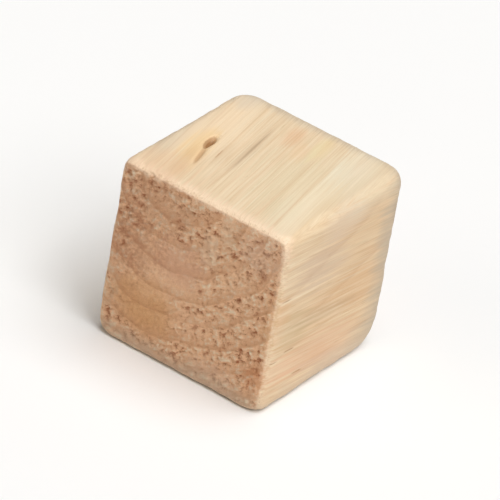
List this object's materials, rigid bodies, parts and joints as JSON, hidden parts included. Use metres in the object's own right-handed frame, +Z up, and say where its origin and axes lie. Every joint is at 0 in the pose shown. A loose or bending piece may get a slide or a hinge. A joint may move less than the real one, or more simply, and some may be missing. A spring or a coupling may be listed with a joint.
{
  "type": "wooden cube",
  "caption": "Small natural softwood cube with eased edges, two sawn end-grain faces and a small open resin pocket on top.",
  "frame": {"origin": "middle of the base, on the surface that the cube stands on", "axes": "+Z up; the grain runs along Y, so the two sawn ends face -Y (front) and +Y; +X is the right planed side"},
  "size_m": [0.01, 0.01, 0.01],
  "materials": {
    "wood": "bare planed softwood, rough sawn on the two ends"
  },
  "bodies": {
    "root": {"wooden_cube": "wood"}
  },
  "joints": []
}
